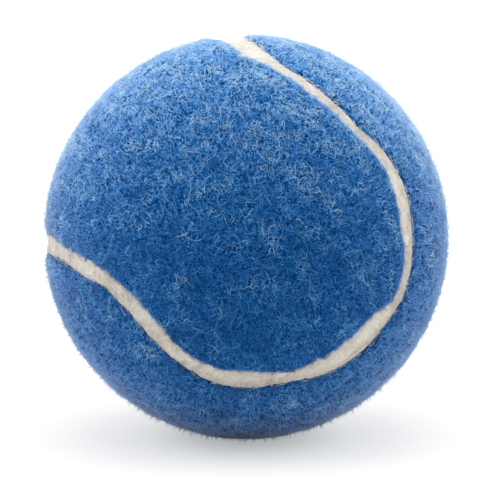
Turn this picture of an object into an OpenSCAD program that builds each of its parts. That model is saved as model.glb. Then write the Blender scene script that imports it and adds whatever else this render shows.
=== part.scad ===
// Tennis ball: a hollow rubber core of two half shells, covered by two interlocking dumbbell panels of
// felt that meet along one closed seam of rubber cement. Millimetres, +Z up, origin at the centre.

/* [Ball] */
// Diameter of the ball over the felt
ball_d = 67; // [55:0.5:82]
// Thickness of the felt cloth
felt_t = 3.2; // [2:0.1:5]

/* [Seam] */
// Width of a felt panel at its waist, over the ball between the seam's centre lines
waist_w = 51; // [38:0.1:56]
// Width of the seam between the cut edges of the felt
seam_w = 3.4; // [1:0.1:5]
// Depth of the seam's face below the felt's surface
seam_depth = 0.7; // [0.4:0.1:1.8]
// Bevel of the felt where its surface falls away into the seam
edge_bevel = 0.7; // [0.3:0.1:1.6]

/* [Core] */
// Wall of the moulded rubber half shells
core_wall = 3.3; // [2:0.1:5]
// Thickness of the cement between the ground rims of the half shells
joint_t = 0.3; // [0.1:0.05:0.8]
// Radius of the bead of cement squeezed out along the inside of that joint
bead_r = 0.7; // [0.4:0.1:1.5]

/* [Coats] */
// Film of rubber cement over the whole core
core_coat_t = 0.15; // [0.05:0.05:0.5]
// Rubber coat on the back of each felt panel
panel_coat_t = 0.25; // [0.1:0.05:0.6]

/* [Attitude] */
// Turn of the cover about X, as the ball lies
turn_x = -15; // [-180:1:180]
// Turn of the cover about Y, after X
turn_y = -46; // [-180:1:180]
// Turn of the cover about Z, after Y
turn_z = 18; // [-180:1:180]

/* [Hidden] */
$fn = 128;

// Outer radius of each layer, from the outside in, and the radius of the hollow
felt_r = ball_d / 2;
seam_r = felt_r - seam_depth;
panel_coat_r = felt_r - felt_t;
core_coat_r = panel_coat_r - panel_coat_t;
core_r = core_coat_r - core_coat_t;
hollow_r = core_r - core_wall;

// The seam's centre line is four equal arcs of circles, which run into each other in line at four points
// of the cover's equator. Each arc turns about its own axis through the ball's centre. The width of the
// waist between two arcs fixes the tilt of those axes from the equator, and the arcs' radius as an angle.
half_waist_angle = angle_over(waist_w / 2);
axis_tilt = atan((sqrt(0.5) - sin(half_waist_angle)) / cos(half_waist_angle));
arc_angle = 90 - half_waist_angle - axis_tilt;

// A panel's lobe ends short of the arc, and the waist of the other panel begins past it
lobe_angle = arc_angle - angle_over(seam_w / 2);
gap_angle = arc_angle + angle_over(seam_w / 2);
// Level above the equator where the edge of the waist hands over to the edge of the lobe. The two all but
// touch there, so a low level leaves a step in the edge of only a few hundredths
join_level = 0.8;

// The cuts between panels reach from well inside the core to well outside the ball
cut_from_r = hollow_r / 3;
cut_to_r = 2 * felt_r;

// Angle at the ball's centre of a length measured over its surface
function angle_over(length) = length / felt_r * 180 / PI;

// Point of a revolved section, at radius r and at an angle from the axis of the turn
function polar(r, angle) = r * [sin(angle), cos(angle)];

// Sections, which are revolved about the axis of an arc

// Everything nearer the axis than a line from the centre, at the angle of an edge
module edge_section(angle) {
    polygon([
        [0, cut_from_r],
        [cut_from_r * tan(angle), cut_from_r],
        [cut_to_r * tan(angle), cut_to_r],
        [0, cut_to_r]
    ]);
}

// The same for the line of the bevel on a lobe's edge, which runs nearly along the axis
module lobe_bevel_section() {
    foot = polar(felt_r - edge_bevel, lobe_angle);
    top = polar(felt_r, lobe_angle - angle_over(edge_bevel));
    slope = (top.x - foot.x) / (top.y - foot.y);
    polygon([
        [0, cut_from_r],
        [foot.x + slope * (cut_from_r - foot.y), cut_from_r],
        [foot.x + slope * (cut_to_r - foot.y), cut_to_r],
        [0, cut_to_r]
    ]);
}

// And for the bevel on a waist's edge, which runs nearly square to the axis
module gap_bevel_section() {
    foot = polar(felt_r - edge_bevel, gap_angle);
    top = polar(felt_r, gap_angle + angle_over(edge_bevel));
    slope = (top.y - foot.y) / (top.x - foot.x);
    polygon([
        [0, foot.y - slope * foot.x],
        [cut_to_r, foot.y + slope * (cut_to_r - foot.x)],
        [cut_to_r, cut_to_r],
        [0, cut_to_r]
    ]);
}

// Solids that part the cover into its panels

// Stands a turned shape about the axis of either arc that bounds the waist of panel a
module about_waist_arc(side) {
    rotate([0, 90 - axis_tilt, 180 * side]) children();
}

// Panel b is panel a turned over, so that each one's lobes fill the other's waist
module turned_over() {
    rotate(180, [1, 1, 0]) children();
}

// The space of panel a: a waist between two gaps, with section child 0, and two lobes, with section child 1
module between_and_within() {
    difference() {
        translate([-cut_to_r, -cut_to_r, join_level]) cube(2 * cut_to_r);
        for (side = [0, 1]) about_waist_arc(side) rotate_extrude() children(0);
    }
    for (side = [0, 1]) turned_over() about_waist_arc(side) rotate_extrude() children(1);
}

module panel_space() {
    between_and_within() {
        edge_section(gap_angle);
        edge_section(lobe_angle);
    }
}

module bevel_space() {
    between_and_within() {
        gap_bevel_section();
        lobe_bevel_section();
    }
}

module shell(r_in, r_out) {
    difference() {
        sphere(r_out);
        sphere(r_in);
    }
}

module panel_coat() {
    intersection() {
        shell(core_coat_r, panel_coat_r);
        panel_space();
    }
}

module felt_panel() {
    intersection() {
        shell(panel_coat_r, felt_r);
        panel_space();
        bevel_space();
    }
}

module as_it_lies() {
    rotate([turn_x, turn_y, turn_z]) children();
}

// The core: half shells about Z, joined at the level of the centre

module core_half() {
    rotate_extrude() intersection() {
        difference() {
            circle(core_r);
            circle(hollow_r);
        }
        translate([0, joint_t / 2]) square(core_r);
    }
}

module core_half_lower() {
    color("dimgray") mirror([0, 0, 1]) core_half();
}

module core_half_upper() {
    color("dimgray") core_half();
}

module core_joint_cement() {
    color("gray") rotate_extrude() {
        intersection() {
            difference() {
                circle(core_r);
                circle(hollow_r);
            }
            translate([0, -joint_t / 2]) square([core_r, joint_t]);
        }
        intersection() {
            circle(hollow_r);
            translate([hollow_r, 0]) circle(bead_r);
        }
    }
}

module core_coat() {
    color("darkgray") shell(core_r, core_coat_r);
}

// The cover

module panel_coat_a() {
    color("tan") as_it_lies() panel_coat();
}

module panel_coat_b() {
    color("tan") as_it_lies() turned_over() panel_coat();
}

module felt_panel_a() {
    color("royalblue") as_it_lies() felt_panel();
}

module felt_panel_b() {
    color("royalblue") as_it_lies() turned_over() felt_panel();
}

// The cement fills what the two panels leave between their edges, from the core's coat to the seam's face
module seam_cement() {
    color("antiquewhite") as_it_lies() difference() {
        shell(core_coat_r, seam_r);
        panel_space();
        turned_over() panel_space();
    }
}

core_half_lower();
core_half_upper();
core_joint_cement();
core_coat();
panel_coat_a();
panel_coat_b();
felt_panel_a();
felt_panel_b();
seam_cement();
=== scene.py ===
import math

import bpy
import numpy as np
from mathutils import Euler, Matrix, Vector


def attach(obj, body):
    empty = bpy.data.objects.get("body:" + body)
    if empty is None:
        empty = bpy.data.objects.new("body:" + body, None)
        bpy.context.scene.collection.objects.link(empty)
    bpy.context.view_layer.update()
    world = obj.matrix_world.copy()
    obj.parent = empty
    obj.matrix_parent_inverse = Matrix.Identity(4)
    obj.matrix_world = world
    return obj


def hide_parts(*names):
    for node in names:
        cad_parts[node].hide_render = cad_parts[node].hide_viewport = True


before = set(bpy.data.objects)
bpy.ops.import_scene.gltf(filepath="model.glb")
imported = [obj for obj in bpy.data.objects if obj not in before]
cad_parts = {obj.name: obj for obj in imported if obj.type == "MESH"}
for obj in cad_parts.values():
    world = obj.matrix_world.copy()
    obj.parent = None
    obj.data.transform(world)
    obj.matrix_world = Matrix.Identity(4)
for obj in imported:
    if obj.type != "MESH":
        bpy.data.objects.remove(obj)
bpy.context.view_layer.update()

# Sizes of the ball, in metres, as in the CAD
BALL_R = 0.0335
COAT_R = BALL_R - 0.0032
CORE_COAT_R = COAT_R - 0.00025
SEAM_FACE_R = BALL_R - 0.0007
SEAM_W = 0.0034
WAIST_W = 0.051
LAY = np.array(Euler(np.radians((-15, -46, 18)), "XYZ").to_matrix())

# Panel a is side 1 of the seam and panel b is side -1
PANELS = (("a", 1), ("b", -1))

# Room between a piece and what it lies on or against
CLEAR = 0.00001

# The felt's ground lies under the nap, and its cut edge falls towards the seam, further on panel a than on b
GROUND_R = BALL_R - 0.00024
GROUND_PARTS = 84
EDGE_DROP = {1: 0.00042, -1: 0.00030}
EDGE_ROUND = 0.0016
# Steepness of the rounding where it meets the cut, and share of the lumps lost there
EDGE_STEEP, EDGE_SMOOTH = 0.98, 0.6
# Heights of the cut's rings, as shares of the way down to the back
WALL_RINGS = (0.12, 0.45)

# The seam's four arcs: half the waist, the tilt of their axes, their radius and half their length, as angles
HALF_WAIST = WAIST_W / 2 / BALL_R
TILT = math.atan((math.sqrt(0.5) - math.sin(HALF_WAIST)) / math.cos(HALF_WAIST))
ARC = math.pi / 2 - HALF_WAIST - TILT
ARC_END = math.pi / 2 + math.atan(math.sin(TILT))
SIN_T, COS_T = math.sin(TILT), math.cos(TILT)
SEAM_LENGTH = 8 * ARC_END * math.sin(ARC) * BALL_R

# The panels are laid by hand, so their cut edges stand nearer and farther from the seam's centre line.
# Distances of either edge in millimetres, every 6 mm along the front of the ball from 188 mm on
LAID_FROM, LAID_STEP = 0.188, 0.006
LAID = {
    1: (2.3, 1.8, 1.4, 2.0, 2.7, 2.5, 1.6, 1.1, 1.3, 2.5, 2.3, 2.8, 3.3,
        3.2, 0.5, 0.7, 2.2, 1.9, 1.9, 1.9, 1.1, 1.3, 2.0, 3.4, 2.8, 3.3),
    -1: (1.9, 2.1, 2.0, 1.9, 0.7, 1.1, 2.3, 2.4, 2.8, 2.2, 1.0, 1.6, 2.2,
         1.8, 2.6, 2.2, 1.7, 2.1, 1.6, 0.5, 1.7, 1.8, 1.1, 1.7, 2.3, 2.4),
}
# Past either end the edges ease to the regular distance, which holds on the back of the ball
EASE_STEPS, BACK_STEPS = 3, 13

# Unevenness as sums of waves, each with its height, wavelength and seed. The seeds of a cut edge's waves
# count from its own
LUMPS = ((0.000025, 0.006, 31), (0.00004, 0.0026, 32))
EDGE_SEED = {1: 11, -1: 12}
BACK_WANDER = ((0.0003, 0.012, 0),)
EDGE_WOBBLE = ((0.00007, 0.0045, 10), (0.00008, 0.0022, 20))
EDGE_WAVES = 12
SEAM_ROUGH = ((0.00003, 0.004, 51), (0.00002, 0.0013, 52))
TINT_PATCHES = ((0.06, 0.0022, 61), (0.07, 0.0042, 62), (0.03, 0.008, 63))
TIP_PATCHES = ((0.25, 0.0016, 64),)

# The seam's strip: points along and across it, its crown, how deep its face dips at either edge and from
# which share of the half width, and how far its back stays within the regular width
SEAM_POINTS, SEAM_ROWS = 1600, 15
SEAM_CROWN = 0.00010
SEAM_DIP = {1: 0.00016, -1: 0.00020}
SEAM_DIP_FROM = 0.8
SEAM_BACK_IN = 0.00025

# Groups of fibres on each panel: a matted nap, a fuzz of short hairs, a fringe on the cut edge
NAP_PIECES, FUZZ_PIECES = 5, 4
# The first group lies lowest and is tinted darkest, which is painted shade deep in the pile
NAP = [
    {"count": 3900, "length": (0.0010, 0.0022), "thick": (0.00011, 0.00015), "rise": (0.0, 0.00012),
     "tip": (-0.0001, 0.00005), "bend": 2.0, "tint": (0.20, 0.10)},
    {"count": 5200, "length": (0.0010, 0.0021), "thick": (0.00009, 0.00012), "rise": (0.00010, 0.00034),
     "tip": (-0.0001, 0.00020), "bend": 2.2, "tint": (0.49, 0.13)},
    {"count": 350, "length": (0.0018, 0.0036), "thick": (0.00006, 0.00009), "rise": (0.0002, 0.0004),
     "tip": (0.0, 0.0004), "bend": 2.4, "tint": (0.74, 0.07)},
]
FUZZ = [
    {"count": 8500, "length": (0.00030, 0.00090), "thick": (0.00006, 0.00009), "rise": (0.0, 0.00012),
     "tip": (0.00010, 0.00055), "bend": 1.6, "tint": (0.64, 0.12), "fade": 0.05, "knots": 4},
    {"count": 4500, "length": (0.00020, 0.00060), "thick": (0.00005, 0.00008), "rise": (0.0, 0.0001),
     "tip": (0.00040, 0.00125), "bend": 1.4, "tint": (0.74, 0.09), "knots": 4},
    {"count": 500, "length": (0.0004, 0.0011), "thick": (0.00005, 0.00008), "rise": (0.0, 0.0002),
     "tip": (0.0003, 0.0009), "bend": 2.0, "tint": (0.62, 0.12), "fade": 0.05},
]
# Panel a's cut edge is combed out over the seam, panel b's is dark and short
FRINGE = {
    1: {"count": 7000, "length": (0.0006, 0.0017), "thick": (0.00004, 0.00006), "rise": (0.0, 0.0001),
        "tip": (0.00005, 0.00040), "bend": 0.9, "tint": (0.30, 0.16), "edge": (-0.00005, 0.0007),
        "start": -0.0002, "over": 0.00060},
    -1: {"count": 5000, "length": (0.0004, 0.0009), "thick": (0.00006, 0.00009), "rise": (0.0, 0.0001),
         "tip": (-0.0002, 0.0001), "bend": 1.0, "tint": (0.32, 0.14), "edge": (-0.00005, 0.0004),
         "start": -0.0003, "over": 0.00010},
}
# Short fibres that stick to the face of the seam
LINT = {"count": 4500, "length": (0.0003, 0.0009), "thick": (0.00006, 0.00010), "rise": (0.00002, 0.00010),
        "tip": (-0.00005, 0.00012), "bend": 2.0, "tint": (0.50, 0.18), "edge": (-0.0018, -0.0001),
        "over": 0.01, "knots": 4, "comb": 0.0}
# Seed of the first piece of each kind, on either panel
NAP_SEED, FUZZ_SEED = {1: 200, -1: 100}, {1: 400, -1: 300}
FRINGE_SEED, LINT_SEED = {1: 500, -1: 400}, {1: 600, -1: 500}

# Roots: points tried on the whole ball for each one on a panel, how far past the cut edge they may be,
# points of the seam's line that those near an edge start from, and their scatter around it
ROOT_TRIES, ROOT_PAST = 2.5, 0.00005
ROOT_LINE, ROOT_SCATTER = 6000, 0.004

# How fibres lie: share of their own heading where they are combed, and crimp for each radian of bend
STRAY, CRIMP = 0.55, 0.9
# The cut edge is shorn, so few fibres reach far over the seam, and lint keeps clear of the felt
SHORN, SHORN_SHARE = 0.0012, 0.2
LINT_CLEAR = 0.0001
# Under the ball they are pressed flat, this far above the floor
PRESSED = 0.00006
# Girth at each knot, and shares of the ball's and the fibre's own roundness in the shading
TAPER = {4: (0, 1, 0.8, 0), 5: (0, 0.9, 1, 0.8, 0)}
ROUND_BALL, ROUND_FIBRE = 0.75, 0.45
# Painted light on top of the ball, where fibres are tinted paler: least lift, more of it for dark fibres,
# the height where it begins and its span
PAINTED_TOP_LIGHT, PAINTED_TOP_LIGHT_DARK, PAINTED_TOP_LIGHT_FROM, PAINTED_TOP_LIGHT_SPAN = 0.16, 0.18, 0.05, 0.7
# Limits of the tint, and its spread around a fibre
TINT_LOW, TINT_HIGH, TINT_FAN = 0.02, 0.98, 0.008


# Shape functions on the unit sphere

def unit(v):
    return v / np.linalg.norm(v, axis=-1, keepdims=True)


def waves(p, wavelength, seed, count):
    """Smooth noise of unit spread at points of the ball, from plane waves of about one wavelength."""
    rng = np.random.default_rng(seed)
    k = unit(rng.normal(size=(count, 3))) * 2 * math.pi * BALL_R / wavelength
    k *= rng.uniform(0.7, 1.4, (count, 1))
    phase = rng.uniform(0, 2 * math.pi, count)
    total = np.zeros(len(p))
    for i in range(count):
        total += np.sin(p @ k[i] + phase[i])
    return total * math.sqrt(2 / count)


def uneven(p, kinds, seed=0, count=20):
    """Sum of waves of several heights and wavelengths."""
    return sum(height * waves(p, wavelength, seed + more, count) for height, wavelength, more in kinds)


def seam_offset(p):
    """Distance over the ball from the seam's centre line, positive on panel a."""
    s = p @ LAY
    x, y, z = abs(s[:, 0]), abs(s[:, 1]), s[:, 2]
    north = SIN_T * (y - x) + COS_T * z > 0
    from_x = np.arccos(np.clip(x * COS_T + z * SIN_T, -1, 1)) - ARC
    from_y = ARC - np.arccos(np.clip(y * COS_T - z * SIN_T, -1, 1))
    return np.where(north, from_x, from_y) * BALL_R


def along_seam(p):
    """Distance along the seam of the point on its centre line that is nearest."""
    x, y, z = (p @ LAY).T
    north = SIN_T * (abs(y) - abs(x)) + COS_T * z > 0
    run = np.where(north, np.where(x > 0, 0, 2), np.where(y > 0, 1, 3))
    aside = np.where(north, np.sign(x) * y, -np.sign(y) * x)
    ahead = np.where(north, COS_T * z - SIN_T * abs(x), -COS_T * z - SIN_T * abs(y))
    return (run + 0.5 + np.arctan2(aside, ahead) / ARC_END / 2) / 4 * SEAM_LENGTH


def edge_table(side):
    """Distances of a cut edge at every step around the seam, and slopes for a curve that overshoots none."""
    laid, regular = np.array(LAID[side]) / 1000, SEAM_W / 2
    back = np.full(BACK_STEPS, regular)
    table = np.concatenate([back, np.linspace(regular, laid[0], EASE_STEPS + 1)[:-1], laid,
                            np.linspace(laid[-1], regular, EASE_STEPS + 1)[1:], back])
    rise = np.diff(table)
    level = rise[:-1] * rise[1:] <= 0
    slope = np.where(level, 0, 2 * rise[:-1] * rise[1:] / np.where(level, 1, rise[:-1] + rise[1:]))
    return table, rise, np.concatenate([[0], slope, [0]])


def half_width(p, side):
    """Distance from the centre line to a panel's cut edge."""
    table, rise, slope = edge_table(side)
    last, turn = len(LAID[side]), SEAM_LENGTH / LAID_STEP
    at = (along_seam(p) - LAID_FROM) % SEAM_LENGTH / LAID_STEP
    at = np.where(at > (last + turn) / 2, at - turn, at)
    k = np.floor(at).astype(int)
    f = at - k
    k += BACK_STEPS + EASE_STEPS
    width = table[k] + f * (slope[k] + f * (
        3 * rise[k] - 2 * slope[k] - slope[k + 1] + f * (slope[k] + slope[k + 1] - 2 * rise[k])))
    unseen = np.clip(np.maximum(-at, at - last + 1) / EASE_STEPS, 0, 1)
    seed = EDGE_SEED[side]
    width += uneven(p, BACK_WANDER, seed, EDGE_WAVES) * unseen
    return width + uneven(p, EDGE_WOBBLE, seed, EDGE_WAVES)


def inside(p, side):
    """Distance from a panel's cut edge, positive on the panel."""
    return side * seam_offset(p) - half_width(p, side)


def ground(p, side, depth=None):
    """Radius of the felt's ground: lumpy, and rounded off into the seam."""
    depth = inside(p, side) if depth is None else depth
    t = 1 - np.clip(depth / EDGE_ROUND, 0, 1)
    drop = EDGE_DROP[side] * (1 - np.sqrt(1 - EDGE_STEEP * t * t))
    return GROUND_R - drop + uneven(p, LUMPS) * (1 - EDGE_SMOOTH * t)


def edge_slope(p, side):
    """Distance from a panel's cut edge, and its slope over the ball."""
    d = inside(p, side)
    a = unit(np.cross(p, np.where(abs(p[:, :1]) < 0.6, (1.0, 0, 0), (0, 1.0, 0))))
    b = np.cross(p, a)
    step = 1e-4
    ga, gb = ((inside(unit(p + step * v), side) - d) / (step * BALL_R) for v in (a, b))
    return d, ga[:, None] * a + gb[:, None] * b


def to_edge(p, side, depth=0.0, times=3):
    """Moves points over the ball to a distance from a panel's cut edge."""
    for _ in range(times):
        d, slope = edge_slope(p, side)
        steep = np.maximum((slope * slope).sum(1), 0.2)
        p = unit(p + ((depth - d) / BALL_R / steep)[:, None] * slope)
    return p


def seam_line(count):
    """Points along the seam's centre line, as unit vectors from the ball's centre."""
    turn = np.linspace(-ARC_END, ARC_END, count // 4, endpoint=False)
    out = math.sin(ARC) * np.cos(turn)
    runs = [np.column_stack([COS_T * math.cos(ARC) - SIN_T * out, math.sin(ARC) * np.sin(turn),
                             SIN_T * math.cos(ARC) + COS_T * out])]
    for _ in range(3):
        x, y, z = runs[-1].T
        runs.append(np.column_stack([-y, x, -z]))
    return np.concatenate(runs) @ LAY.T


# Meshes of the panels and the seam

def geodesic(n):
    """Points and triangles of a sphere, an icosahedron with each edge in n parts."""
    g = (1 + math.sqrt(5)) / 2
    corners = unit(np.array([
        (-1, g, 0), (1, g, 0), (-1, -g, 0), (1, -g, 0), (0, -1, g), (0, 1, g),
        (0, -1, -g), (0, 1, -g), (g, 0, -1), (g, 0, 1), (-g, 0, -1), (-g, 0, 1)]))
    sides = np.array([
        (0, 11, 5), (0, 5, 1), (0, 1, 7), (0, 7, 10), (0, 10, 11), (1, 5, 9), (5, 11, 4),
        (11, 10, 2), (10, 7, 6), (7, 1, 8), (3, 9, 4), (3, 4, 2), (3, 2, 6), (3, 6, 8),
        (3, 8, 9), (4, 9, 5), (2, 4, 11), (6, 2, 10), (8, 6, 7), (9, 8, 1)])
    ij = np.array([(i, j) for i in range(n + 1) for j in range(n + 1 - i)])
    at = {tuple(x): k for k, x in enumerate(ij)}
    tris = [(at[i, j], at[i + 1, j], at[i, j + 1]) for i in range(n) for j in range(n - i)]
    tris += [(at[i + 1, j], at[i + 1, j + 1], at[i, j + 1]) for i in range(n) for j in range(n - i - 1)]
    tris = np.array(tris)
    b = np.column_stack([n - ij.sum(1), ij]) / n
    points = np.concatenate([b @ corners[s] for s in sides])
    faces = np.concatenate([tris + k * len(ij) for k in range(len(sides))])
    _, first, same = np.unique(np.round(points, 6), axis=0, return_index=True, return_inverse=True)
    return unit(points[first]), same.ravel()[faces]


def panel_cap(n, side):
    """Points and triangles of one panel's patch of the sphere, cut along its edge."""
    p, faces = geodesic(n)
    # The square of an even triangle's side is 2.31 times its area
    triangle_side = math.sqrt(4 * math.pi / len(faces) * 2.31) * BALL_R
    d = inside(p, side)
    snap = abs(d) < 0.3 * triangle_side
    p[snap] = to_edge(p[snap], side)
    state = np.where(snap, 0, np.sign(d)).astype(int)
    of = state[faces]
    whole = faces[(of >= 0).all(1) & (of > 0).any(1)]
    mixed = faces[(of > 0).any(1) & (of < 0).any(1)]
    new, index, cut = [], {}, []

    def between(i, j):
        key = (min(i, j), max(i, j))
        if key not in index:
            t = d[key[0]] / (d[key[0]] - d[key[1]])
            index[key] = len(p) + len(new)
            new.append(p[key[0]] * (1 - t) + p[key[1]] * t)
        return index[key]

    for tri in mixed:
        ring = []
        for i, j in zip(tri, np.roll(tri, -1)):
            if state[i] >= 0:
                ring.append(i)
            if state[i] * state[j] < 0:
                ring.append(between(i, j))
        cut += [(ring[0], ring[k], ring[k + 1]) for k in range(1, len(ring) - 1)]
    p = np.concatenate([p, to_edge(unit(np.array(new)), side)])
    faces = np.concatenate([whole, np.array(cut)])
    used, faces = np.unique(faces, return_inverse=True)
    return p[used], faces.reshape(-1, 3)


def make(name, points, faces, look):
    """A smooth mesh piece of the ball."""
    me = bpy.data.meshes.new(name)
    points, faces = np.asarray(points, np.float32), np.asarray(faces, np.int32)
    me.vertices.add(len(points))
    me.vertices.foreach_set("co", points.ravel())
    me.loops.add(faces.size)
    me.loops.foreach_set("vertex_index", faces.ravel())
    me.polygons.add(len(faces))
    me.polygons.foreach_set("loop_start", np.arange(0, faces.size, faces.shape[1], dtype=np.int32))
    me.polygons.foreach_set("use_smooth", np.full(len(faces), True))
    me.update(calc_edges=True)
    me.materials.append(look)
    ob = bpy.data.objects.new(name, me)
    bpy.context.collection.objects.link(ob)
    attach(ob, "root")
    return ob


def point_values(ob, name, values):
    """Keeps one number for each point of a mesh."""
    kept = ob.data.attributes.new(name, "FLOAT", "POINT")
    kept.data.foreach_set("value", values.astype(np.float32))


def felt_panel(name, side, look):
    """A closed panel of felt: its ground, its cut edge and its back."""
    p, faces = panel_cap(GROUND_PARTS, side)
    n = len(p)
    ends = np.concatenate([faces[:, [0, 1]], faces[:, [1, 2]], faces[:, [2, 0]]])
    keys = ends.min(1).astype(np.int64) * n + ends.max(1)
    _, first, uses = np.unique(keys, return_index=True, return_counts=True)
    rim = ends[first[uses == 1]]
    on_rim = np.unique(rim)
    number = np.full(n, -1)
    number[on_rim] = np.arange(len(on_rim))
    top, back = ground(p, side), COAT_R + CLEAR
    points, layers = [p * top[:, None], p * back], [rim]
    for i, share in enumerate(WALL_RINGS):
        points.append(p[on_rim] * (top[on_rim] * (1 - share) + back * share)[:, None])
        layers.append(2 * n + i * len(on_rim) + number[rim])
    layers.append(n + rim)
    wall = []
    for up, down in zip(layers, layers[1:]):
        wall += [np.column_stack([up[:, 1], up[:, 0], down[:, 0]]),
                 np.column_stack([up[:, 1], down[:, 0], down[:, 1]])]
    faces = np.concatenate([faces, faces[:, ::-1] + n, *wall])
    return make(name, np.concatenate(points), faces, look)


def seam_strip(name, look):
    """The closed ring of cement: a face that rises and dips a little between the panels, sides and back."""
    line = seam_line(SEAM_POINTS)
    ahead = np.roll(line, -1, 0) - np.roll(line, 1, 0)
    across = unit(np.cross(line, ahead))
    across *= np.sign(seam_offset(unit(line + 0.01 * across)))[:, None]
    reach = {side: half_width(line, side) - CLEAR for side in (1, -1)}

    def beside(far):
        angle = (far / BALL_R)[:, None]
        return unit(line * np.cos(angle) + across * np.sin(angle))

    rows, places = [], [*np.linspace(1, -1, SEAM_ROWS), -1, 1]
    for t in places[:SEAM_ROWS]:
        side = 1 if t > 0 else -1
        p = beside(reach[side] * t)
        dip = SEAM_DIP[side] * max(0.0, abs(t) - SEAM_DIP_FROM) / (1 - SEAM_DIP_FROM)
        face = SEAM_FACE_R + SEAM_CROWN * (1 - t * t) - dip + uneven(p, SEAM_ROUGH)
        rows.append(p * face[:, None])
    for side in places[SEAM_ROWS:]:
        far = np.minimum(reach[side], SEAM_W / 2 - SEAM_BACK_IN) * side
        rows.append(beside(far) * (CORE_COAT_R + CLEAR))
    n, m = len(line), len(rows)
    i, k = np.meshgrid(np.arange(n), np.arange(m))
    i, k = i.ravel(), k.ravel()
    this, following = k * n, (k + 1) % m * n
    faces = np.column_stack([this + i, following + i, following + (i + 1) % n, this + (i + 1) % n])
    ob = make(name, np.concatenate(rows), faces, look)
    point_values(ob, "across", np.repeat(places, n))
    point_values(ob, "along", np.tile(np.arange(n) / n, m))
    return ob


# Fibres

def strand_faces(knots):
    """Triangles of one closed strand of three sides: a point, rings and a point."""
    tris = [(0, 1 + j, 1 + (j + 1) % 3) for j in range(3)]
    for k in range(knots - 3):
        for j in range(3):
            a, b = 1 + 3 * k + j, 1 + 3 * k + (j + 1) % 3
            tris += [(a, a + 3, b), (b, a + 3, b + 3)]
    last = 3 * (knots - 2) + 1
    return np.array(tris + [(last, last - 3 + (j + 1) % 3, last - 3 + j) for j in range(3)])


def roots(count, side, rng, edge):
    """Points where fibres start: all over a panel, or within a small distance of its cut edge."""
    if not edge:
        p = unit(rng.normal(size=(int(count * ROOT_TRIES), 3)))
        return p[inside(p, side) > -ROOT_PAST][:count]
    line = seam_line(ROOT_LINE)
    p = line[rng.integers(0, len(line), count)]
    p = unit(p + rng.normal(0, ROOT_SCATTER, (count, 3)))
    return to_edge(p, side, rng.uniform(*edge, count))


def strand_paths(p, side, rng, length, rise, tip, bend, start, over, knots, edge, comb):
    """Knots of curved fibres from their roots, and the ball's normal at each knot."""
    count = len(p)
    long = rng.uniform(*length, count)
    head = unit(np.cross(p, unit(rng.normal(size=(count, 3)))))
    if edge:
        head = unit(STRAY * head - comb * unit(edge_slope(p, side)[1]))
    turn = rng.normal(0, bend, count) / (knots - 1)
    crimp = rng.normal(0, CRIMP * bend, (count, knots)) / (knots - 1)
    high = rng.uniform(*rise, count)
    end = rng.uniform(*tip, count) * (1 + uneven(p, TIP_PATCHES))
    low = rng.uniform(start, 0, count) if edge else start
    reach = -np.minimum(rng.exponential(over, count), max(SHORN, SHORN_SHARE * over))
    path, up = np.empty((count, knots, 3)), np.empty((count, knots, 3))
    for k in range(knots):
        s = k / (knots - 1)
        depth = inside(p, side)
        far = depth < reach
        if far.any():
            p[far] = to_edge(p[far], side, reach[far], 1)
            depth[far] = reach[far]
        if not comb:
            near = depth > -LINT_CLEAR
            p[near] = to_edge(p[near], side, -LINT_CLEAR, 1)
            depth[near] = -LINT_CLEAR
        path[:, k] = p * (ground(p, side, depth) + low + 4 * s * (1 - s) * high + s * s * end)[:, None]
        up[:, k] = p
        a = turn + crimp[:, k]
        head = unit(np.cross(np.cross(p, head), p))
        head = head * np.cos(a)[:, None] + np.cross(p, head) * np.sin(a)[:, None]
        step = (long / (knots - 1) / BALL_R)[:, None]
        p, head = unit(p * np.cos(step) + head * np.sin(step)), head * np.cos(step) - p * np.sin(step)
    path[..., 2] = np.maximum(path[..., 2], PRESSED - BALL_R)
    return path, up


def strands(count, side, rng, length, thick, rise, tip, bend, tint, start=-0.0001, over=0.00020, fade=0.0,
            knots=5, edge=None, comb=1.0):
    """Curved fibres on one panel: corners, normals, triangles, tints and how far along each corner is."""
    root = roots(count, side, rng, edge)
    count = len(root)
    path, up = strand_paths(root.copy(), side, rng, length, rise, tip, bend, start, over, knots, edge, comb)
    along = unit(np.gradient(path, axis=1) + 1e-9)
    out = unit(up - (up * along).sum(2, keepdims=True) * along)
    beside = np.cross(along, out)
    girth = rng.uniform(*thick, count)[:, None] * np.array(TAPER[knots])
    corners, normals = [path[:, 0]], [up[:, 0]]
    for k in range(1, knots - 1):
        for j in range(3):
            around = math.radians(90 + 120 * j)
            arm = out[:, k] * math.sin(around) + beside[:, k] * math.cos(around)
            corners.append(path[:, k] + arm * girth[:, k, None] / 2)
            normals.append(unit(ROUND_BALL * up[:, k] + ROUND_FIBRE * arm))
    corners.append(path[:, -1])
    normals.append(up[:, -1])
    per = len(corners)
    points, normals = (np.stack(x, 1).reshape(-1, 3) for x in (corners, normals))
    faces = (strand_faces(knots) + per * np.arange(count)[:, None, None]).reshape(-1, 3)
    shade = rng.normal(*tint, count) + uneven(root, TINT_PATCHES)
    # Fibres are tinted paler towards the top of the ball, as painted light from above
    shade += (PAINTED_TOP_LIGHT + PAINTED_TOP_LIGHT_DARK * (1 - shade)) * np.clip((root[:, 2] - PAINTED_TOP_LIGHT_FROM) / PAINTED_TOP_LIGHT_SPAN, 0, 1)
    far = np.repeat(np.arange(knots), [1] + [3] * (knots - 2) + [1]) / (knots - 1)
    fan = np.array([0] + [-1, 0, 1] * (knots - 2) + [0]) * TINT_FAN
    u = (np.clip(shade[:, None] + fade * (far - 0.5), TINT_LOW, TINT_HIGH) + fan).ravel()
    v = np.tile(0.02 + 0.96 * far, count)
    return points, normals, faces, u, v


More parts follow.
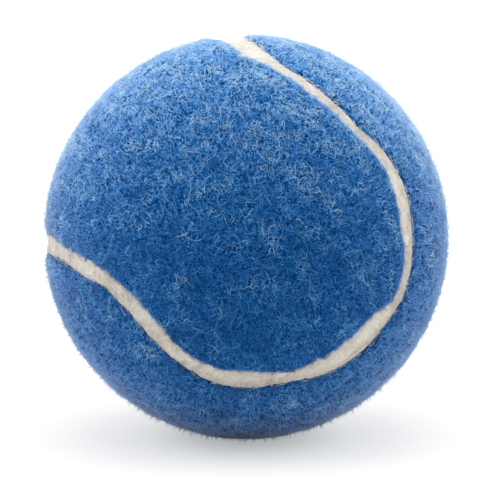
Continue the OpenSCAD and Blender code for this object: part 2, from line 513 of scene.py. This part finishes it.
def nap(name, side, seed, look, groups):
    """Joins groups of fibres into one piece that lies on a panel."""
    rng = np.random.default_rng(seed)
    parts, base = [], 0
    for group in groups:
        points, normals, faces, u, v = strands(side=side, rng=rng, **group)
        parts.append((points, normals, faces + base, u, v))
        base += len(points)
    points, normals, faces, u, v = (np.concatenate(x) for x in zip(*parts))
    ob = make(name, points, faces, look)
    layer = ob.data.uv_layers.new(name="OFBake")
    layer.data.foreach_set("uv", np.column_stack([u, v])[faces.ravel()].astype(np.float32).ravel())
    point_values(ob, "tint", u)
    ob.data.normals_split_custom_set_from_vertices(normals.astype(np.float32))
    return ob


# Materials

def material(name, roughness, specular=0.5):
    """A new material with its nodes, links and shader."""
    look = bpy.data.materials.new(name)
    look.use_nodes = True
    nodes, links = look.node_tree.nodes, look.node_tree.links
    shader = nodes["Principled BSDF"]
    shader.inputs["Roughness"].default_value = roughness
    shader.inputs["Specular IOR Level"].default_value = specular
    return look, nodes, links, shader


def noise_at(nodes, links, scale, detail=4.0, rough=0.55):
    """Noise fixed to the object."""
    co = nodes.new("ShaderNodeTexCoord")
    noise = nodes.new("ShaderNodeTexNoise")
    noise.inputs["Scale"].default_value = scale
    noise.inputs["Detail"].default_value = detail
    noise.inputs["Roughness"].default_value = rough
    links.new(co.outputs["Object"], noise.inputs["Vector"])
    return noise.outputs["Fac"]


def number_of(nodes, name):
    """The number that a mesh keeps for its points."""
    kept = nodes.new("ShaderNodeAttribute")
    kept.attribute_name = name
    return kept.outputs["Fac"]


def calculate(nodes, links, operation, first, *rest):
    """A node of arithmetic, on outputs of other nodes and plain numbers."""
    node = nodes.new("ShaderNodeMath")
    node.operation = operation
    for socket, value in zip(node.inputs, (first, *rest)):
        if isinstance(value, (int, float)):
            socket.default_value = value
        else:
            links.new(value, socket)
    return node.outputs[0]


def ramp(nodes, links, source, stops):
    """Colours along a number."""
    node = nodes.new("ShaderNodeValToRGB")
    steps = node.color_ramp.elements
    steps.remove(steps[0])
    steps[0].position, steps[0].color = stops[0][0], (*stops[0][1], 1)
    for at, colour in stops[1:]:
        steps.new(at).color = (*colour, 1)
    links.new(source, node.inputs["Fac"])
    return node.outputs["Color"]


def bump(nodes, links, source, shader, strength, distance):
    """Small heights on a surface."""
    node = nodes.new("ShaderNodeBump")
    node.inputs["Strength"].default_value = strength
    node.inputs["Distance"].default_value = distance
    links.new(source, node.inputs["Height"])
    links.new(node.outputs["Normal"], shader.inputs["Normal"])


def felt_ground():
    """Dark blue under the nap, darker than the fibres as painted shade between them."""
    look, nodes, links, shader = material("felt_ground", 0.95, 0.0)
    noise = noise_at(nodes, links, 900, 5, 0.6)
    colour = ramp(nodes, links, noise, [
        (0.32, (0.001, 0.030, 0.120)), (0.55, (0.003, 0.066, 0.235)), (0.75, (0.007, 0.112, 0.35))])
    links.new(colour, shader.inputs["Base Color"])
    bump(nodes, links, noise, shader, 0.7, 0.0002)
    return look


def felt_nap():
    """Fibres from dark to pale blue, with a sheen."""
    look, nodes, links, shader = material("felt_nap", 0.85, 0.0)
    colour = ramp(nodes, links, number_of(nodes, "tint"), [
        (0.05, (0.002, 0.058, 0.24)), (0.40, (0.003, 0.126, 0.465)), (0.65, (0.014, 0.24, 0.70)),
        (0.82, (0.10, 0.40, 0.86)), (0.98, (0.46, 0.72, 0.92))])
    links.new(colour, shader.inputs["Base Color"])
    shader.inputs["Sheen Weight"].default_value = 1.0
    shader.inputs["Sheen Roughness"].default_value = 0.50
    shader.inputs["Sheen Tint"].default_value = (0.95, 0.97, 1.0, 1)
    return look


def seam_cement():
    """Warm cream along the middle, paler and cooler along the edges, with fine streaks across."""
    look, nodes, links, shader = material("seam_cement", 0.8, 0.2)
    broad = noise_at(nodes, links, 220, 3, 0.5)
    fine = noise_at(nodes, links, 1400, 3, 0.6)
    across = number_of(nodes, "across")
    at = nodes.new("ShaderNodeCombineXYZ")
    links.new(calculate(nodes, links, "MULTIPLY", number_of(nodes, "along"), 1500), at.inputs["X"])
    links.new(calculate(nodes, links, "MULTIPLY", across, 1.6), at.inputs["Y"])
    streaks = nodes.new("ShaderNodeTexNoise")
    streaks.inputs["Scale"].default_value = 1.0
    streaks.inputs["Detail"].default_value = 3.0
    links.new(at.outputs[0], streaks.inputs["Vector"])
    total = 0.0
    for source, share in ((broad, 0.40), (fine, 0.34), (streaks.outputs["Fac"], 0.26)):
        total = calculate(nodes, links, "MULTIPLY_ADD", source, share, total)
    middle = ramp(nodes, links, total, [
        (0.38, (0.44, 0.40, 0.35)), (0.49, (0.58, 0.55, 0.50)), (0.60, (0.66, 0.64, 0.595))])
    edge = ramp(nodes, links, total, [
        (0.38, (0.38, 0.40, 0.40)), (0.49, (0.53, 0.55, 0.55)), (0.60, (0.62, 0.635, 0.63))])
    share = nodes.new("ShaderNodeMapRange")
    share.inputs["From Min"].default_value = 0.35
    share.inputs["From Max"].default_value = 0.85
    links.new(calculate(nodes, links, "ABSOLUTE", across), share.inputs["Value"])
    blend = nodes.new("ShaderNodeMix")
    blend.data_type = "RGBA"
    links.new(share.outputs["Result"], blend.inputs["Factor"])
    links.new(middle, blend.inputs[6])
    links.new(edge, blend.inputs[7])
    links.new(blend.outputs[2], shader.inputs["Base Color"])
    bump(nodes, links, total, shader, 1.0, 0.0004)
    return look


def seam_lint():
    """Cream fibres."""
    look, nodes, links, shader = material("seam_lint", 0.85, 0.1)
    colour = ramp(nodes, links, number_of(nodes, "tint"), [
        (0.15, (0.47, 0.45, 0.42)), (0.50, (0.665, 0.64, 0.60)), (0.85, (0.765, 0.75, 0.715))])
    links.new(colour, shader.inputs["Base Color"])
    return look


def rubber(name, low, high, scale):
    """Mottled rubber or dried cement of the inside."""
    look, nodes, links, shader = material(name, 0.7)
    noise = noise_at(nodes, links, scale)
    links.new(ramp(nodes, links, noise, [(0.35, low), (0.65, high)]), shader.inputs["Base Color"])
    bump(nodes, links, noise, shader, 0.3, 0.0001)
    return look


# The core and the coats, which keep their CAD meshes

core = rubber("core_rubber", (0.06, 0.056, 0.05), (0.12, 0.115, 0.105), 500)
cement = rubber("core_cement", (0.28, 0.24, 0.18), (0.42, 0.37, 0.29), 350)
backing = rubber("panel_backing", (0.36, 0.30, 0.21), (0.52, 0.45, 0.34), 350)
inner = {
    "core_half_lower": core, "core_half_upper": core, "core_joint_cement": cement,
    "core_coat": cement, "panel_coat_a": backing, "panel_coat_b": backing,
}
for node, look in inner.items():
    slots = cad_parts[node].material_slots
    if len(slots):
        for s in slots:
            s.material = look
    else:
        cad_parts[node].data.materials.append(look)

# The felt

ground_look, nap_look = felt_ground(), felt_nap()
for letter, side in PANELS:
    panel = felt_panel(f"felt_ground_{letter}", side, ground_look)
    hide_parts(f"felt_panel_{letter}")
    pile = [nap(f"felt_nap_{letter}_{i + 1}", side, NAP_SEED[side] + i, nap_look, NAP)
            for i in range(NAP_PIECES)]
    pile += [nap(f"felt_fuzz_{letter}_{i + 1}", side, FUZZ_SEED[side] + i, nap_look, FUZZ)
             for i in range(FUZZ_PIECES)]
    pile.append(nap(f"felt_fringe_{letter}", side, FRINGE_SEED[side], nap_look, [FRINGE[side]]))

# The seam

strip = seam_strip("seam_strip", seam_cement())
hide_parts("seam_cement")
lint_look = seam_lint()
for letter, side in PANELS:
    nap(f"seam_lint_{letter}", side, LINT_SEED[side], lint_look, [LINT])


# The floor, the light and the camera

def seen_directly(nodes, links):
    """1 for rays from the camera or from a mirror or glass, and 0 for light on its way to the ball."""
    rays = nodes.new("ShaderNodeLightPath").outputs
    first = calculate(nodes, links, "MAXIMUM", rays["Is Camera Ray"], rays["Is Glossy Ray"])
    return calculate(nodes, links, "MAXIMUM", first, rays["Is Transmission Ray"])


def paper():
    """White paper, a little darker where the ball keeps the light of the room from it: seen directly it
    glows, and that darkening is a painted shadow over a faint real one.
    """
    look, nodes, links, shader = material("floor", 1.0, 0.0)
    shader.inputs["Base Color"].default_value = (0.94, 0.90, 0.85, 1)
    where = nodes.new("ShaderNodeNewGeometry")
    level, away = nodes.new("ShaderNodeVectorMath"), nodes.new("ShaderNodeVectorMath")
    level.operation, away.operation = "MULTIPLY", "LENGTH"
    level.inputs[1].default_value = (11, 9.2, 0)
    links.new(where.outputs["Position"], level.inputs[0])
    links.new(level.outputs["Vector"], away.inputs[0])
    # The glow is darker towards where the ball rests: a painted shadow
    painted_shadow = ramp(nodes, links, away.outputs["Value"], [
        (0.0, (0.36, 0.375, 0.38)), (0.07, (0.425, 0.45, 0.46)), (0.10, (0.47, 0.495, 0.508)),
        (0.145, (0.575, 0.597, 0.612)), (0.19, (0.675, 0.688, 0.702)), (0.24, (0.735, 0.742, 0.752)),
        (0.32, (0.775, 0.78, 0.785)), (1.0, (1.0, 1.0, 1.0))])
    white = nodes.new("ShaderNodeEmission")
    links.new(painted_shadow, white.inputs["Color"])
    grey = nodes.new("ShaderNodeBsdfDiffuse")
    grey.inputs["Color"].default_value = (0.19, 0.19, 0.19, 1)
    both = nodes.new("ShaderNodeAddShader")
    links.new(white.outputs[0], both.inputs[0])
    links.new(grey.outputs[0], both.inputs[1])
    choose = nodes.new("ShaderNodeMixShader")
    links.new(seen_directly(nodes, links), choose.inputs["Fac"])
    links.new(shader.outputs[0], choose.inputs[1])
    links.new(both.outputs[0], choose.inputs[2])
    links.new(choose.outputs[0], nodes["Material Output"].inputs["Surface"])
    return look


def add(name, data):
    """A new object of the scene."""
    ob = bpy.data.objects.new(name, data)
    bpy.context.collection.objects.link(ob)
    return ob


FLOOR_HALF = 3
floor_mesh = bpy.data.meshes.new("floor")
corners = [(x * FLOOR_HALF, y * FLOOR_HALF, -BALL_R) for x, y in ((-1, -1), (1, -1), (1, 1), (-1, 1))]
floor_mesh.from_pydata(corners, [], [(0, 1, 2, 3)])
floor_mesh.materials.append(paper())
floor = add("floor", floor_mesh)

# Round lamps that face the ball: power in watts and place
LAMP_SIZE = 0.9
LAMPS = {
    "overhead": (10.7, (0, -0.07, 0.9)),
    "left": (6.4, (-0.9, 0, 0.35)),
    "right": (5.0, (0.9, 0, 0.35)),
    "right_back": (2.0, (0.7, 0.6, 0.3)),
    "back": (2.4, (0, 0.6, 0.7)),
}
for name, (power, spot) in LAMPS.items():
    light = bpy.data.lights.new(name, "AREA")
    light.shape = "DISK"
    light.size = LAMP_SIZE
    light.energy = power
    lamp = add(name, light)
    lamp.location = spot
    lamp.rotation_euler = (Vector((0, 0, 0)) - Vector(spot)).to_track_quat("-Z", "Y").to_euler()

# The room is white where it is seen, and gives the ball only a little light
ROOM_LIGHT = 0.05
world = bpy.data.worlds.new("world")
bpy.context.scene.world = world
world.use_nodes = True
room, room_links = world.node_tree.nodes, world.node_tree.links
room["Background"].inputs["Color"].default_value = (1, 1, 1, 1)
strength = room.new("ShaderNodeMapRange")
strength.inputs["To Min"].default_value = ROOM_LIGHT
room_links.new(seen_directly(room, room_links), strength.inputs["Value"])
room_links.new(strength.outputs["Result"], room["Background"].inputs["Strength"])

# The camera is far away and a little above, with the ball where the photograph has it: the frame, the ball's
# centre and its radius in pixels, and the distance in radii
FRAME_PX, BALL_PX, BALL_R_PX = 500, (246.05, 236.91), 201.9
RADII_AWAY, ELEVATION = 30, math.radians(10)
SENSOR = 36
FOCAL = BALL_R_PX * math.sqrt(RADII_AWAY ** 2 - 1)
lens = bpy.data.cameras.new("camera")
lens.sensor_width = SENSOR
lens.lens = FOCAL * SENSOR / FRAME_PX
lens.clip_start, lens.clip_end = 0.05, 20
camera = add("camera", lens)
sine, cosine = math.sin(ELEVATION), math.cos(ELEVATION)
turn = Matrix(((1, 0, 0), (0, sine, -cosine), (0, cosine, sine)))
middle = FRAME_PX / 2
centre = Vector(((BALL_PX[0] - middle) / FOCAL, (middle - BALL_PX[1]) / FOCAL, -1))
centre = centre.normalized() * (RADII_AWAY * BALL_R)
camera.matrix_world = Matrix.Translation(turn @ -centre) @ turn.to_4x4()
bpy.context.scene.camera = camera
bpy.context.scene.view_settings.view_transform = "Standard"

# Bring the scene up to date

bpy.context.view_layer.update()
